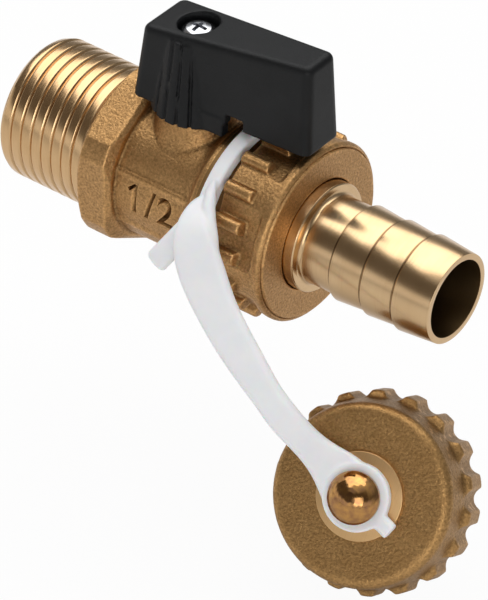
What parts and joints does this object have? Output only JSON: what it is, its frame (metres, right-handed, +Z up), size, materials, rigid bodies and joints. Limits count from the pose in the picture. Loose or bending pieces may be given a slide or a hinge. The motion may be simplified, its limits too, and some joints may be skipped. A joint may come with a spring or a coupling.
{
  "type": "ball drain cock",
  "caption": "Brass ball drain cock with a male threaded inlet, black lever, barbed hose union and a ribbed brass cap hung on a white plastic strap.",
  "frame": {"origin": "on the pipe axis, where the inlet thread reaches its full diameter", "axes": "+X along the pipe from the inlet to the hose outlet, +Z up along the stem to the lever"},
  "size_m": [0.0826, 0.0395, 0.0692],
  "materials": {
    "forged_brass": "forged and blasted, matt",
    "turned_brass": "bright turned",
    "plated_ball": "hard plated and polished",
    "seat_plastic": "machined fluoroplastic",
    "seal_rubber": "smooth moulded",
    "lever_plastic": "fine moulded grain",
    "screw_steel": "zinc plated",
    "strap_plastic": "soft moulded"
  },
  "bodies": {
    "body": {"valve_body": "forged_brass", "seat_ring_inlet": "seat_plastic", "seat_ring_outlet": "seat_plastic", "outlet_spigot": "turned_brass"},
    "lever": {"handle": "lever_plastic", "handle_screw": "screw_steel", "stem": "turned_brass", "stem_thrust_washer": "seat_plastic", "stem_o_ring_lower": "seal_rubber", "stem_o_ring_upper": "seal_rubber", "ball": "plated_ball"},
    "tail": {"hose_tail": "turned_brass", "tail_gasket": "seal_rubber"},
    "nut": {"union_nut": "forged_brass"},
    "strap_loop": {"strap_band": "strap_plastic", "strap_tether": "strap_plastic", "strap_ring": "strap_plastic"},
    "hung_cap": {"cap": "forged_brass", "cap_gasket": "seal_rubber"}
  },
  "joints": [
    {"name": "lever_turn", "type": "hinge", "parent": "body", "child": "lever", "pos_m": [0.0267, 0, 0], "axis": [0, 0, 1], "range_deg": [-90, 0]},
    {"name": "tail_slide", "type": "slide", "parent": "body", "child": "tail", "axis": [1, 0, 0], "range_m": [0, 0.00453]},
    {"name": "nut_turn", "type": "hinge", "parent": "tail", "child": "nut", "pos_m": [0.0436, 0, 0], "axis": [1, 0, 0], "range_deg": [0, 900]},
    {"name": "strap_swivel", "type": "hinge", "parent": "body", "child": "strap_loop", "pos_m": [0.0372, 0, 0], "axis": [1, 0, 0], "range_deg": [-25, 120]},
    {"name": "cap_spin", "type": "hinge", "parent": "strap_loop", "child": "hung_cap", "pos_m": [0.0691, -0.0184, -0.0231], "axis": [0.2216, -0.7983, 0.5601], "continuous": true}
  ],
  "couplings": [
    {"joint": "nut_turn", "follows": "tail_slide", "rad_per_m": 3463.7}
  ]
}
